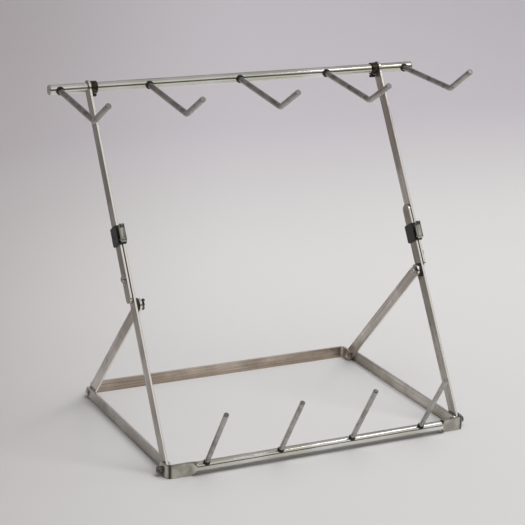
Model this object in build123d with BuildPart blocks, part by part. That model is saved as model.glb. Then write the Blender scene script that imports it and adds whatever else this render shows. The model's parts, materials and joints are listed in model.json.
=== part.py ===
from build123d import *
import os
from math import atan2, cos, degrees, hypot, radians, sin

os.makedirs("parts", exist_ok=True)

# Free-standing folding rack. +X runs to the right along the front tube, +Y to the back, +Z up.
# Lengths are millimetres and angles are degrees.

# Flat bar stock and the layers it is stacked in, counted outwards from the side rails
BAR_WIDTH = 15.0
BAR_THICKNESS = 3.0
RUNNING_GAP = 0.3
LAYER_PITCH = BAR_THICKNESS + RUNNING_GAP
EDGE_ROUND = 0.45
CUT_DEPTH = 2 * BAR_THICKNESS
END_FLAT = 0.1
END_ROUND = BAR_WIDTH / 2 - END_FLAT

# Round stock
TUBE_RADIUS = 6.0
TUBE_BORE = 4.8
PEG_RADIUS = 3.0
PEG_TENON = 2.5
HOOK_RADIUS = 3.5
ROD_HOLE_MARGIN = 0.1
ROD_TAIL = 3.2
ROD_CHAMFER = 0.5
RUNNING_CLEARANCE = 0.05

# Overall frame
HALF_WIDTH = 190.0
BASE_DEPTH = 258.0
PIVOT_HEIGHT = BAR_WIDTH / 2
LEG_ANGLE = 59.1
APEX_ALONG_LEG = 193.0
LEG_LENGTH = 271.0
TUBE_ALONG_LEG = 462.0
LEG_FOLD = 50.0

# Rear rail and front tube, which both reach round the corners to the pivots
REAR_RAIL_SETBACK = 14.0
REAR_BEND = 5.5
FRONT_TUBE_SETBACK = 12.5
FRONT_TUBE_HEIGHT = 9.5
FLAT_HEIGHT = 16.5
FLAT_THICKNESS = 2.8
FLAT_STARTS = {"left": 168.0, "right": 171.0}
FLARE_LENGTH = 6.0
FRONT_BEND = 6.0

# Pegs along the front tube
PEG_SPACING = 94.5
PEG_ROW_CENTRE = -7.5
PEG_LENGTH = 99.0
PEG_LEAN = 33.3

# Hooks along the top tube
TOP_TUBE_HALF = 245.0
HOOK_PLACES = (-234.0, -120.5, 0.0, 120.5, 234.0)
HOOK_REACH = 120.0
HOOK_DROPS = (6.5, 6.5, 6.5, 6.5, 3.0)
HOOK_TIP = 52.0
HOOK_TURN = 36.7
HOOK_BEND = 9.0
RING_WALL = 1.6
RING_FROM_AXIS = 4.5
RING_TO_AXIS = 8.2
RING_ROUND = 1.1
PEG_SHOULDER = RING_TO_AXIS + 1.0

# Plugs in the ends of the top tube
PLUG_HEAD = 1.6
PLUG_STEM = 7.0
PLUG_ROUND = 0.8

# Eye at the top of each upper bar, and the collar and thumb screw beside it
EYE_RADIUS = 8.8
NECK_ROUND = 8.0
FOOT_ROUND = 5.0
COLLAR_LENGTH = 9.0
COLLAR_RADIUS = 7.6
COLLAR_CHAMFER = 0.6
SCREW_FROM_BAR = 4.9
SCREW_RADIUS = 1.5
SCREW_TIP_GAP = 0.3
SCREW_HUB_RADIUS = 2.4
SCREW_HUB_LENGTH = 3.0
SCREW_HUB_GAP = 0.4
SCREW_WING_REACH = 4.3
SCREW_WING_DROOP = 1.4
SCREW_WING_THICKNESS = 1.4

# Slide clamps, measured along and across the leg
CLAMP_PLACES = {"left": 277.0, "right": 241.0}
CLAMP_LENGTH = 23.0
CLAMP_WALL = 1.7
CLAMP_WIDTH = 19.4
CLAMP_CORNER = 2.0
CLAMP_EDGE = 0.7
LEVER_PIN_RADIUS = 1.25
LEVER_PIN_OUT = 3.7
LEVER_PIN_UP = 3.6
LEVER_LENGTH = 19.0
LEVER_WIDTH = 7.0
LEVER_SHEET = 0.9
LEVER_CHEEK = 3.0
LEVER_FLARE = 4.0
LUG_WIDTH = 4.4
LUG_RADIUS = 2.6
PAD_OFFSET = 4.0
PAD_LENGTH = 7.8
PAD_HEIGHT = 4.0
PAD_GAP = 0.1
PAD_TO_BAR = 0.2

# Lock screws through the foot of each upper bar
LOCK_PLACES = {"left": 225.0, "right": 214.0}
UPPER_BAR_START = 196.0
LOCK_WASHER = 1.0
LOCK_WASHER_RADIUS = 6.8
LOCK_HEAD = 2.2
LOCK_HEAD_RADIUS = 4.0
LOCK_HEAD_ROUND = 1.2
LOCK_SLOT = (1.0, 6.0)

# Fasteners
RIVET_RADIUS = 2.0
RIVET_HEAD = 4.2
RIVET_DOME = 2.3
RIVET_ROUND = 1.9
FRONT_CAP = 6.5
STUD_RADIUS = 2.0
STUD_HEAD = 3.9
STUD_TAIL = 4.9
STUD_CHAMFER = 0.5
SPACER_RADIUS = 8.2
DISC_CHAMFER = 0.2
NOTCH_CLEARANCE = 0.25
NUT_WASHER = 0.8
NUT_WASHER_RADIUS = 5.0
HEX_NUT_RADIUS = 3.5
HEX_NUT_HEIGHT = 3.2
WING_NUT_GAP = 0.1
WING_NUT_HUB = 3.4
WING_NUT_FOOT = 0.7
WING_NUT_STEP = 0.4
WING_NUT_HUB_RADII = (4.2, 3.3)
WING_NUT_TIP = (7.5, 3.0)
WING_NUT_WING_WIDTH = 2.1
WING_NUT_THICKNESS = 1.8

SIDES = {"left": -1, "right": 1}


def along(start, distance, angle):
    """Point in the side view, as (y, z), at a distance and angle from another."""
    return (start[0] + distance * cos(radians(angle)), start[1] + distance * sin(radians(angle)))


# The origin is on the floor under the middle of the whole rack's outline
PEG_FRONT = FRONT_TUBE_SETBACK + PEG_LENGTH * sin(radians(PEG_LEAN)) + PEG_RADIUS * cos(radians(PEG_LEAN))
RAIL_BACK = REAR_RAIL_SETBACK + BAR_THICKNESS / 2
CENTRE_SHIFT = (PEG_FRONT - RAIL_BACK) / 2

FRONT_PIVOT = (-BASE_DEPTH / 2 + CENTRE_SHIFT, PIVOT_HEIGHT)
REAR_PIVOT = (BASE_DEPTH / 2 + CENTRE_SHIFT, PIVOT_HEIGHT)
APEX = along(FRONT_PIVOT, APEX_ALONG_LEG, LEG_ANGLE)
TOP_TUBE = along(FRONT_PIVOT, TUBE_ALONG_LEG, LEG_ANGLE)
FRONT_TUBE = (FRONT_PIVOT[0] - FRONT_TUBE_SETBACK, FRONT_TUBE_HEIGHT)

STRUT_RUN = (APEX[0] - REAR_PIVOT[0], APEX[1] - REAR_PIVOT[1])
STRUT_LENGTH = hypot(*STRUT_RUN)
STRUT_ANGLE = degrees(atan2(STRUT_RUN[1], STRUT_RUN[0]))
LEG_RUN = (APEX[0] - FRONT_PIVOT[0], APEX[1] - FRONT_PIVOT[1])

# The struts lie flat when the legs are down, so they turn this much for each degree of the legs
STRUT_FOLD_RATIO = (180.0 - STRUT_ANGLE) / LEG_FOLD

# Line along which an apex stud leaves its strut as both begin to fold
SLIP = (
    LEG_RUN[1] + STRUT_FOLD_RATIO * STRUT_RUN[1],
    -LEG_RUN[0] - STRUT_FOLD_RATIO * STRUT_RUN[0],
)
SLIP_ANGLE = degrees(atan2(SLIP[1], SLIP[0]))

# Layers, as signed counts from the side rail; the sliding upper bar has a wider gap
REAR_TAB_LAYER = -2
STRUT_LAYER = -1
RAIL_LAYER = 0
LEG_LAYER = 1
FRONT_TAB_LAYER = 2
UPPER_LAYER = 2.2


def layer_x(layer):
    """Middle of a layer of flat bar, on the right-hand side."""
    return HALF_WIDTH + layer * LAYER_PITCH


# Clamp box, from the inner wall under the leg to the outer wall over the upper bar
CHANNEL_INNER = layer_x(LEG_LAYER) - BAR_THICKNESS / 2 - RUNNING_GAP / 2
CHANNEL_OUTER = layer_x(UPPER_LAYER) + BAR_THICKNESS / 2 + RUNNING_GAP
CLAMP_INNER = CHANNEL_INNER - CLAMP_WALL
CLAMP_OUTER = CHANNEL_OUTER + CLAMP_WALL
CLAMP_MIDDLE = (CLAMP_INNER + CLAMP_OUTER) / 2
CLAMP_FRONT = CLAMP_WIDTH / 2
LEVER_PIN = (-CLAMP_LENGTH / 2 + LEVER_PIN_UP, CLAMP_FRONT + LEVER_PIN_OUT)

# Faces that the collars and the apex nuts sit against
COLLAR_OUTER = layer_x(UPPER_LAYER) - BAR_THICKNESS / 2
WASHER_SEAT = layer_x(STRUT_LAYER) - BAR_THICKNESS / 2 - RUNNING_GAP
NUT_SEAT = WASHER_SEAT - NUT_WASHER


def side_plane(x, point, angle):
    """Plane in the side view: its X runs at the angle from +Y, its Z is the rack's +X."""
    run = (0, cos(radians(angle)), sin(radians(angle)))
    return Plane(origin=(x, point[0], point[1]), x_dir=run, z_dir=(1, 0, 0))


def save(part, label):
    part.label = label
    export_step(part, f"parts/{label}.step")


def outline_edges(part):
    """Outlines of the two broad faces of a bar that lies across X."""
    faces = part.faces().sort_by(Axis.X)
    return faces[0].outer_wire().edges() + faces[-1].outer_wire().edges()


def plain_bar(x, point, angle, length, holes):
    """Flat bar with rounded ends: holes are (distance, radius) pairs along it."""
    with BuildPart() as bar:
        with BuildSketch(side_plane(x, point, angle)):
            with Locations((length / 2, 0)):
                SlotCenterToCenter(length, BAR_WIDTH)
        extrude(amount=BAR_THICKNESS / 2, both=True)
        fillet(outline_edges(bar), EDGE_ROUND)
        for distance, radius in holes:
            with BuildSketch(side_plane(x, point, angle)):
                with Locations((distance, 0)):
                    Circle(radius)
            extrude(amount=CUT_DEPTH, both=True, mode=Mode.SUBTRACT)
    return bar.part


def side_rail(side):
    holes = [(0, RIVET_RADIUS), (BASE_DEPTH, RIVET_RADIUS)]
    return plain_bar(side * layer_x(RAIL_LAYER), FRONT_PIVOT, 0, BASE_DEPTH, holes)


def leg(side):
    """Lower upright, with a countersink for the apex stud on its outer face."""
    x = side * layer_x(LEG_LAYER)
    holes = [(0, RIVET_RADIUS + RUNNING_CLEARANCE), (APEX_ALONG_LEG, STUD_RADIUS)]
    blank = plain_bar(x, FRONT_PIVOT, LEG_ANGLE, LEG_LENGTH, holes)
    with BuildPart() as countersunk:
        add(blank)
        add(stud_head(side), mode=Mode.SUBTRACT)
    return countersunk.part


def strut(side):
    """Rear brace, with a slanting notch that lets go of the apex stud."""
    x = side * layer_x(STRUT_LAYER)
    holes = [(0, RIVET_RADIUS + RUNNING_CLEARANCE)]
    blank = plain_bar(x, REAR_PIVOT, STRUT_ANGLE, STRUT_LENGTH, holes)
    notch_radius = STUD_RADIUS + NOTCH_CLEARANCE
    with BuildPart() as notched:
        add(blank)
        with BuildSketch(side_plane(x, APEX, SLIP_ANGLE)):
            SlotCenterPoint((BAR_WIDTH / 2, 0), (0, 0), 2 * notch_radius)
        extrude(amount=CUT_DEPTH, both=True, mode=Mode.SUBTRACT)
    return notched.part


def upper_bar(side, lock_place):
    """Upper upright: square foot with small round corners, and an eye for the top tube."""
    x = side * layer_x(UPPER_LAYER)
    length = TUBE_ALONG_LEG - UPPER_BAR_START
    plane = side_plane(x, along(FRONT_PIVOT, UPPER_BAR_START, LEG_ANGLE), LEG_ANGLE)
    with BuildPart() as bar:
        with BuildSketch(plane) as face:
            with Locations((length / 2, 0)):
                Rectangle(length, BAR_WIDTH)
            fillet(face.vertices().sort_by(Axis.X)[:2], FOOT_ROUND)
            with Locations((length, 0)):
                Circle(EYE_RADIUS)
            fillet(face.vertices().sort_by_distance((length, 0))[:2], NECK_ROUND)
        extrude(amount=BAR_THICKNESS / 2, both=True)
        fillet(outline_edges(bar), EDGE_ROUND)
        with BuildSketch(plane):
            with Locations((length, 0)):
                Circle(TUBE_RADIUS + RUNNING_CLEARANCE)
            with Locations((lock_place - UPPER_BAR_START, 0)):
                Circle(STUD_RADIUS)
        extrude(amount=CUT_DEPTH, both=True, mode=Mode.SUBTRACT)
    return bar.part


def rivet(side, point, inner_layer, outer_layer, outer_grip, outer_head):
    """Round-headed rivet along X: outer_grip is its outermost sheet, outer_head its outer head's height."""
    inner = layer_x(inner_layer) - BAR_THICKNESS / 2
    outer = layer_x(outer_layer) - BAR_THICKNESS / 2 + outer_grip
    with BuildPart() as pin:
        with BuildSketch(side_plane(side * inner, point, 0)):
            Circle(RIVET_RADIUS)
        extrude(amount=side * (outer - inner))
        with BuildSketch(side_plane(side * outer, point, 0)):
            Circle(RIVET_HEAD)
        extrude(amount=side * outer_head)
        with BuildSketch(side_plane(side * inner, point, 0)):
            Circle(RIVET_HEAD)
        extrude(amount=-side * RIVET_DOME)
        rims = pin.edges().filter_by(GeomType.CIRCLE).sort_by(Axis.X)
        fillet([rims[0], rims[-1]], RIVET_ROUND)
    return pin.part


def stud_head(side):
    """Countersunk head of an apex stud, flush with the leg's outer face."""
    outer = layer_x(LEG_LAYER) + BAR_THICKNESS / 2
    depth = STUD_HEAD - STUD_RADIUS
    with BuildPart() as head:
        with BuildSketch(side_plane(side * outer, APEX, 0)):
            Circle(STUD_HEAD)
        with BuildSketch(side_plane(side * (outer - depth), APEX, 0)):
            Circle(STUD_RADIUS)
        loft()
    return head.part


def apex_stud(side):
    outer = layer_x(LEG_LAYER) + BAR_THICKNESS / 2
    inner = layer_x(STRUT_LAYER) - BAR_THICKNESS / 2 - STUD_TAIL
    with BuildPart() as stud:
        add(stud_head(side))
        with BuildSketch(side_plane(side * inner, APEX, 0)):
            Circle(STUD_RADIUS)
        extrude(amount=side * (outer - inner - STUD_CHAMFER))
        tip = stud.faces().filter_by(Axis.X).sort_by(Axis.X)[0 if side > 0 else -1]
        chamfer(tip.edges(), STUD_CHAMFER)
    return stud.part


def disc(side, near, far, point, radius, bore):
    """Washer along X between two distances from the middle of the rack."""
    with BuildPart() as washer:
        with BuildSketch(side_plane(side * near, point, 0)):
            Circle(radius)
            Circle(bore, mode=Mode.SUBTRACT)
        extrude(amount=side * (far - near))
        chamfer(washer.edges().filter_by(GeomType.CIRCLE).sort_by(SortBy.RADIUS)[-2:], DISC_CHAMFER)
    return washer.part


def rear_rail():
    """Flat bar on edge along the back, its ends bent forward to the rear pivots."""
    tab = layer_x(REAR_TAB_LAYER)
    back = REAR_PIVOT[0] + REAR_RAIL_SETBACK
    front = REAR_PIVOT[0] - BAR_WIDTH / 2
    with BuildPart() as rail:
        with BuildSketch():
            with BuildLine():
                FilletPolyline((-tab, front), (-tab, back), (tab, back), (tab, front), radius=REAR_BEND)
            trace(line_width=BAR_THICKNESS)
        extrude(amount=BAR_WIDTH)
        corners = rail.edges().filter_by(Axis.X).group_by(Axis.Y)[0]
        fillet(corners, END_ROUND)
        with BuildSketch(side_plane(0, REAR_PIVOT, 0)):
            Circle(RIVET_RADIUS)
        extrude(amount=HALF_WIDTH, both=True, mode=Mode.SUBTRACT)
    return rail.part


def peg_places():
    return [PEG_ROW_CENTRE + PEG_SPACING * (i - 1.5) for i in range(4)]


def peg_plane(x):
    """Plane across a peg, at the front tube's axis, its Z running up the peg."""
    lean = radians(PEG_LEAN)
    return Plane(origin=(x, FRONT_TUBE[0], FRONT_TUBE[1]), x_dir=(1, 0, 0), z_dir=(0, -sin(lean), cos(lean)))


def front_tube():
    """Round tube, pressed flat at both ends and bent back to the front pivots."""
    tab = layer_x(FRONT_TAB_LAYER) - BAR_THICKNESS / 2 + FLAT_THICKNESS / 2
    flat_middle = FLAT_HEIGHT / 2
    tab_end = FRONT_PIVOT[0] + FLAT_HEIGHT / 2
    round_ends = {name: start - FLARE_LENGTH for name, start in FLAT_STARTS.items()}
    round_length = round_ends["left"] + round_ends["right"]
    with BuildPart() as tube:
        with BuildSketch(side_plane(-round_ends["left"], FRONT_TUBE, 0)):
            Circle(TUBE_RADIUS)
        extrude(amount=round_length)
        for name, side in SIDES.items():
            with BuildSketch(side_plane(side * round_ends[name], FRONT_TUBE, 0)):
                Circle(TUBE_RADIUS)
            with BuildSketch(side_plane(side * FLAT_STARTS[name], (FRONT_TUBE[0], flat_middle), 0)):
                Rectangle(FLAT_THICKNESS, FLAT_HEIGHT)
            loft()
            with BuildSketch():
                with BuildLine():
                    FilletPolyline(
                        (side * FLAT_STARTS[name], FRONT_TUBE[0]),
                        (side * tab, FRONT_TUBE[0]),
                        (side * tab, tab_end),
                        radius=FRONT_BEND,
                    )
                trace(line_width=FLAT_THICKNESS)
            extrude(amount=FLAT_HEIGHT)
        corners = tube.edges().filter_by(Axis.X).group_by(Axis.Y)[-1]
        fillet(corners, FLAT_HEIGHT / 2 - END_FLAT)
        with BuildSketch(side_plane(0, FRONT_PIVOT, 0)):
            Circle(RIVET_RADIUS)
        extrude(amount=HALF_WIDTH + BAR_WIDTH, both=True, mode=Mode.SUBTRACT)
        with BuildSketch(side_plane(TUBE_RADIUS - round_ends["left"], FRONT_TUBE, 0)):
            Circle(TUBE_BORE)
        extrude(amount=round_length - 2 * TUBE_RADIUS, mode=Mode.SUBTRACT)
        for x in peg_places():
            with BuildSketch(peg_plane(x)):
                Circle(PEG_TENON + ROD_HOLE_MARGIN)
            extrude(amount=2 * TUBE_RADIUS, mode=Mode.SUBTRACT)
    return tube.part


def peg(x):
    """Straight rod, turned down where it enters the tube."""
    plane = peg_plane(x)
    with BuildPart() as rod:
        with BuildSketch(plane.offset(-ROD_TAIL)):
            Circle(PEG_TENON)
        extrude(amount=PEG_SHOULDER + ROD_TAIL)
        with BuildSketch(plane.offset(PEG_SHOULDER)):
            Circle(PEG_RADIUS)
        extrude(amount=PEG_LENGTH - PEG_SHOULDER)
        chamfer(rod.edges().filter_by(GeomType.CIRCLE).sort_by(Axis.Z)[-1:], ROD_CHAMFER)
    return rod.part


def root_ring(plane, tube_axis, rod_radius):
    """Moulded ring round the root of a rod, seated on its tube."""
    ring_radius = rod_radius + RING_WALL
    with BuildPart() as ring:
        with BuildSketch(plane.offset(RING_FROM_AXIS)):
            Circle(ring_radius)
        extrude(amount=RING_TO_AXIS - RING_FROM_AXIS)
        fillet(ring.edges().filter_by(GeomType.CIRCLE).sort_by_distance(tube_axis)[-1:], RING_ROUND)
        with BuildSketch(plane):
            Circle(rod_radius)
        extrude(amount=2 * RING_TO_AXIS, mode=Mode.SUBTRACT)
        with BuildSketch(Plane(origin=tube_axis, x_dir=(0, 1, 0), z_dir=(1, 0, 0))):
            Circle(TUBE_RADIUS)
        extrude(amount=2 * ring_radius, both=True, mode=Mode.SUBTRACT)
    return ring.part


def hook_plane(x, drop):
    """Plane across a hook's root, at the top tube's axis, its Z running out along the hook."""
    lean = radians(drop)
    return Plane(origin=(x, TOP_TUBE[0], TOP_TUBE[1]), x_dir=(1, 0, 0), z_dir=(0, -cos(lean), -sin(lean)))


def hook(x, drop):
    """Rod that runs forward and a little down, then turns up at its end."""
    root = along(TOP_TUBE, -ROD_TAIL, 180 + drop)
    elbow = along(TOP_TUBE, HOOK_REACH, 180 + drop)
    tip = along(elbow, HOOK_TIP, 180 + drop - HOOK_TURN)
    with BuildPart() as rod:
        with BuildLine() as route:
            FilletPolyline((x, *root), (x, *elbow), (x, *tip), radius=HOOK_BEND)
        with BuildSketch(hook_plane(x, drop).offset(-ROD_TAIL)):
            Circle(HOOK_RADIUS)
        sweep(path=route.wires()[0])
        chamfer(rod.edges().filter_by(GeomType.CIRCLE).sort_by_distance((x, *tip))[:1], ROD_CHAMFER)
    return rod.part


def top_tube():
    with BuildPart() as tube:
        with BuildSketch(side_plane(-TOP_TUBE_HALF, TOP_TUBE, 0)):
            Circle(TUBE_RADIUS)
            Circle(TUBE_BORE, mode=Mode.SUBTRACT)
        extrude(amount=2 * TOP_TUBE_HALF)
        for x, drop in zip(HOOK_PLACES, HOOK_DROPS):
            with BuildSketch(hook_plane(x, drop)):
                Circle(HOOK_RADIUS + ROD_HOLE_MARGIN)
            extrude(amount=2 * TUBE_RADIUS, mode=Mode.SUBTRACT)
    return tube.part


def tube_plug(side):
    with BuildPart() as plug:
        with BuildSketch(side_plane(side * TOP_TUBE_HALF, TOP_TUBE, 0)):
            Circle(TUBE_RADIUS)
        extrude(amount=side * PLUG_HEAD)
        rim = plug.edges().filter_by(GeomType.CIRCLE).sort_by(Axis.X)[-1 if side > 0 else 0]
        fillet(rim, PLUG_ROUND)
        with BuildSketch(side_plane(side * TOP_TUBE_HALF, TOP_TUBE, 0)):
            Circle(TUBE_BORE)
        extrude(amount=-side * PLUG_STEM)
    return plug.part


def screw_plane(side):
    """Plane across a thumb screw at the top tube's axis, its Z pointing down."""
    x = side * (COLLAR_OUTER - SCREW_FROM_BAR)
    return Plane(origin=(x, TOP_TUBE[0], TOP_TUBE[1]), x_dir=(1, 0, 0), z_dir=(0, 0, -1))


def tube_collar(side):
    """Boss on the inner face of an upper bar: the top tube turns in it."""
    with BuildPart() as collar:
        with BuildSketch(side_plane(side * COLLAR_OUTER, TOP_TUBE, 0)):
            Circle(COLLAR_RADIUS)
        extrude(amount=-side * COLLAR_LENGTH)
        inner = collar.edges().filter_by(GeomType.CIRCLE).sort_by(Axis.X)[0 if side > 0 else -1]
        chamfer(inner, COLLAR_CHAMFER)
        with BuildSketch(side_plane(side * COLLAR_OUTER, TOP_TUBE, 0)):
            Circle(TUBE_RADIUS + RUNNING_CLEARANCE)
        extrude(amount=-side * COLLAR_LENGTH, mode=Mode.SUBTRACT)
        with BuildSketch(screw_plane(side)):
            Circle(SCREW_RADIUS + RUNNING_CLEARANCE)
        extrude(amount=2 * COLLAR_RADIUS, mode=Mode.SUBTRACT)
    return collar.part


def thumb_screw(side):
    """Wing screw under the collar, its tip just short of the tube."""
    tip = TUBE_RADIUS + SCREW_TIP_GAP
    hub_top = COLLAR_RADIUS + SCREW_HUB_GAP
    hub_end = hub_top + SCREW_HUB_LENGTH
    wing_low = hub_end + SCREW_WING_DROOP
    with BuildPart() as screw:
        with BuildSketch(screw_plane(side).offset(tip)):
            Circle(SCREW_RADIUS)
        extrude(amount=hub_end - tip)
        with BuildSketch(screw_plane(side).offset(hub_top)):
            Circle(SCREW_HUB_RADIUS)
        extrude(amount=SCREW_HUB_LENGTH)
        wing = Plane(origin=screw_plane(side).origin, x_dir=(1, 0, 0), z_dir=(0, -1, 0))
        with BuildSketch(wing):
            with BuildLine():
                Polyline(
                    (0, -hub_end),
                    (-SCREW_WING_REACH, -wing_low),
                    (-SCREW_WING_REACH, -hub_top - SCREW_WING_DROOP),
                    (0, -hub_top - SCREW_HUB_GAP),
                    (SCREW_WING_REACH, -hub_top - SCREW_WING_DROOP),
                    (SCREW_WING_REACH, -wing_low),
                    close=True,
                )
            make_face()
        extrude(amount=SCREW_WING_THICKNESS / 2, both=True)
    return screw.part


def clamp_plane(side, place):
    """Side-view plane at a clamp's middle: its X runs up the leg, its Y towards the front."""
    return side_plane(side * CLAMP_MIDDLE, along(FRONT_PIVOT, place, LEG_ANGLE), LEG_ANGLE)


def clamp_body(side, place):
    """Box round both bars, with a lug for the lever and a window for the pad."""
    plane = clamp_plane(side, place)
    pin_up, pin_out = LEVER_PIN
    lug_foot = CLAMP_FRONT - CLAMP_EDGE
    with BuildPart() as body:
        with BuildSketch(plane):
            RectangleRounded(CLAMP_LENGTH, CLAMP_WIDTH, CLAMP_CORNER)
        extrude(amount=(CLAMP_OUTER - CLAMP_INNER) / 2, both=True)
        fillet(outline_edges(body), CLAMP_EDGE)
        with BuildSketch(plane):
            with Locations((pin_up, (pin_out + lug_foot) / 2)):
                Rectangle(2 * LUG_RADIUS, pin_out - lug_foot)
            with Locations(LEVER_PIN):
                Circle(LUG_RADIUS)
                Circle(LEVER_PIN_RADIUS, mode=Mode.SUBTRACT)
        extrude(amount=LUG_WIDTH / 2, both=True)
        channel_plane = plane.offset(side * (CHANNEL_INNER - CLAMP_MIDDLE))
        with BuildSketch(channel_plane):
            Rectangle(2 * CLAMP_LENGTH, BAR_WIDTH + 2 * RUNNING_GAP)
        extrude(amount=side * (CHANNEL_OUTER - CHANNEL_INNER), mode=Mode.SUBTRACT)
        with BuildSketch(plane):
            with Locations((PAD_OFFSET, CLAMP_FRONT)):
                Rectangle(PAD_LENGTH + 2 * PAD_GAP, CLAMP_WIDTH - BAR_WIDTH)
        extrude(amount=PAD_HEIGHT / 2 + PAD_GAP, both=True, mode=Mode.SUBTRACT)
    return body.part


def clamp_pad(side, place):
    """Brake pad in the clamp's front wall, facing the edges of both bars."""
    inner = BAR_WIDTH / 2 + PAD_TO_BAR
    outer = CLAMP_FRONT - PAD_GAP
    with BuildPart() as pad:
        with BuildSketch(clamp_plane(side, place)):
            with Locations((PAD_OFFSET, (inner + outer) / 2)):
                Rectangle(PAD_LENGTH, outer - inner)
        extrude(amount=PAD_HEIGHT / 2, both=True)
    return pad.part


def clamp_pin(side, place):
    with BuildPart() as pin:
        with BuildSketch(clamp_plane(side, place)):
            with Locations(LEVER_PIN):
                Circle(LEVER_PIN_RADIUS)
        extrude(amount=LEVER_WIDTH / 2 + LEVER_SHEET / 2, both=True)
    return pin.part


def clamp_lever(side, place):
    """Folded sheet lever: two cheeks on the pin and a front plate that flares at its end."""
    plane = clamp_plane(side, place)
    pin_up, pin_out = LEVER_PIN
    back = pin_out - LEVER_CHEEK
    inside = pin_out + LEVER_CHEEK
    front = inside + LEVER_SHEET
    end = pin_up + LEVER_LENGTH
    with BuildPart() as lever:
        with BuildSketch(plane):
            with BuildLine():
                Polyline(
                    (pin_up, back),
                    (end - LEVER_FLARE, back + LEVER_CHEEK / 2),
                    (end, inside),
                    (end, front + LEVER_SHEET),
                    (end - LEVER_FLARE, front),
                    (pin_up, front),
                )
                RadiusArc((pin_up, front), (pin_up - LEVER_CHEEK, pin_out), -LEVER_CHEEK - LEVER_SHEET)
                RadiusArc((pin_up - LEVER_CHEEK, pin_out), (pin_up, back), -LEVER_CHEEK)
            make_face()
        extrude(amount=LEVER_WIDTH / 2, both=True)
        with BuildSketch(plane):
            with Locations((end, inside - LEVER_LENGTH / 2)):
                Rectangle(4 * LEVER_LENGTH, LEVER_LENGTH)
        extrude(amount=LEVER_WIDTH / 2 - LEVER_SHEET, both=True, mode=Mode.SUBTRACT)
        with BuildSketch(plane):
            with Locations(LEVER_PIN):
                Circle(LEVER_PIN_RADIUS + RUNNING_CLEARANCE)
        extrude(amount=LEVER_WIDTH, both=True, mode=Mode.SUBTRACT)
    return lever.part


def lock_point(place):
    return along(FRONT_PIVOT, place, LEG_ANGLE)


def lock_screw(side, place):
    """Pan-head screw through an upper bar, its tip just short of the leg."""
    outer = layer_x(UPPER_LAYER) + BAR_THICKNESS / 2 + LOCK_WASHER
    inner = layer_x(UPPER_LAYER) - BAR_THICKNESS / 2
    slot_depth, slot_length = LOCK_SLOT
    with BuildPart() as screw:
        with BuildSketch(side_plane(side * outer, lock_point(place), 0)):
            Circle(LOCK_HEAD_RADIUS)
        extrude(amount=side * LOCK_HEAD)
        rim = screw.edges().filter_by(GeomType.CIRCLE).sort_by(Axis.X)[-1 if side > 0 else 0]
        fillet(rim, LOCK_HEAD_ROUND)
        with BuildSketch(side_plane(side * (outer + LOCK_HEAD), lock_point(place), 0)):
            Rectangle(slot_depth, slot_length)
        extrude(amount=-side * slot_depth, mode=Mode.SUBTRACT)
        with BuildSketch(side_plane(side * inner, lock_point(place), 0)):
            Circle(STUD_RADIUS)
        extrude(amount=side * (outer - inner))
    return screw.part


def hex_nut(side):
    with BuildPart() as nut:
        with BuildSketch(side_plane(side * NUT_SEAT, APEX, 0)):
            RegularPolygon(radius=HEX_NUT_RADIUS, side_count=6, major_radius=False)
            Circle(STUD_RADIUS, mode=Mode.SUBTRACT)
        extrude(amount=-side * HEX_NUT_HEIGHT)
    return nut.part


def wing_nut(side):
    """Nut with two wings that lean away from the frame."""
    near = NUT_SEAT - WING_NUT_GAP
    base_radius, end_radius = WING_NUT_HUB_RADII
    tip_out, tip_away = WING_NUT_TIP
    wings = Plane(origin=(side * near, APEX[0], APEX[1]), x_dir=(0, 0, 1), z_dir=(0, 1, 0))
    with BuildPart() as nut:
        with BuildSketch(side_plane(side * near, APEX, 0)):
            Circle(base_radius)
        with BuildSketch(side_plane(side * (near - WING_NUT_HUB), APEX, 0)):
            Circle(end_radius)
        loft()
        with BuildSketch(wings):
            with BuildLine():
                Polyline(
                    (0, WING_NUT_FOOT),
                    (base_radius, WING_NUT_FOOT),
                    (tip_out, tip_away),
                    (tip_out - WING_NUT_WING_WIDTH, tip_away + WING_NUT_WING_WIDTH),
                    (end_radius, WING_NUT_HUB - WING_NUT_STEP),
                    (0, WING_NUT_HUB - WING_NUT_STEP),
                    close=True,
                )
            make_face()
            mirror(about=Plane.YZ)
        extrude(amount=WING_NUT_THICKNESS / 2, both=True)
        with BuildSketch(side_plane(side * near, APEX, 0)):
            Circle(STUD_RADIUS + RUNNING_CLEARANCE)
        extrude(amount=-side * 2 * WING_NUT_HUB, mode=Mode.SUBTRACT)
    return nut.part


save(rear_rail(), "rear_rail")
save(front_tube(), "front_tube")
save(top_tube(), "top_tube")

for index, x in enumerate(peg_places(), start=1):
    save(peg(x), f"peg_{index}")
peg_rings = [root_ring(peg_plane(x), (x, *FRONT_TUBE), PEG_TENON) for x in peg_places()]
save(Compound(children=peg_rings), "peg_rings")

hook_rings = []
for index, (x, drop) in enumerate(zip(HOOK_PLACES, HOOK_DROPS), start=1):
    save(hook(x, drop), f"hook_{index}")
    hook_rings.append(root_ring(hook_plane(x, drop), (x, *TOP_TUBE), HOOK_RADIUS))
save(Compound(children=hook_rings), "hook_rings")

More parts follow.
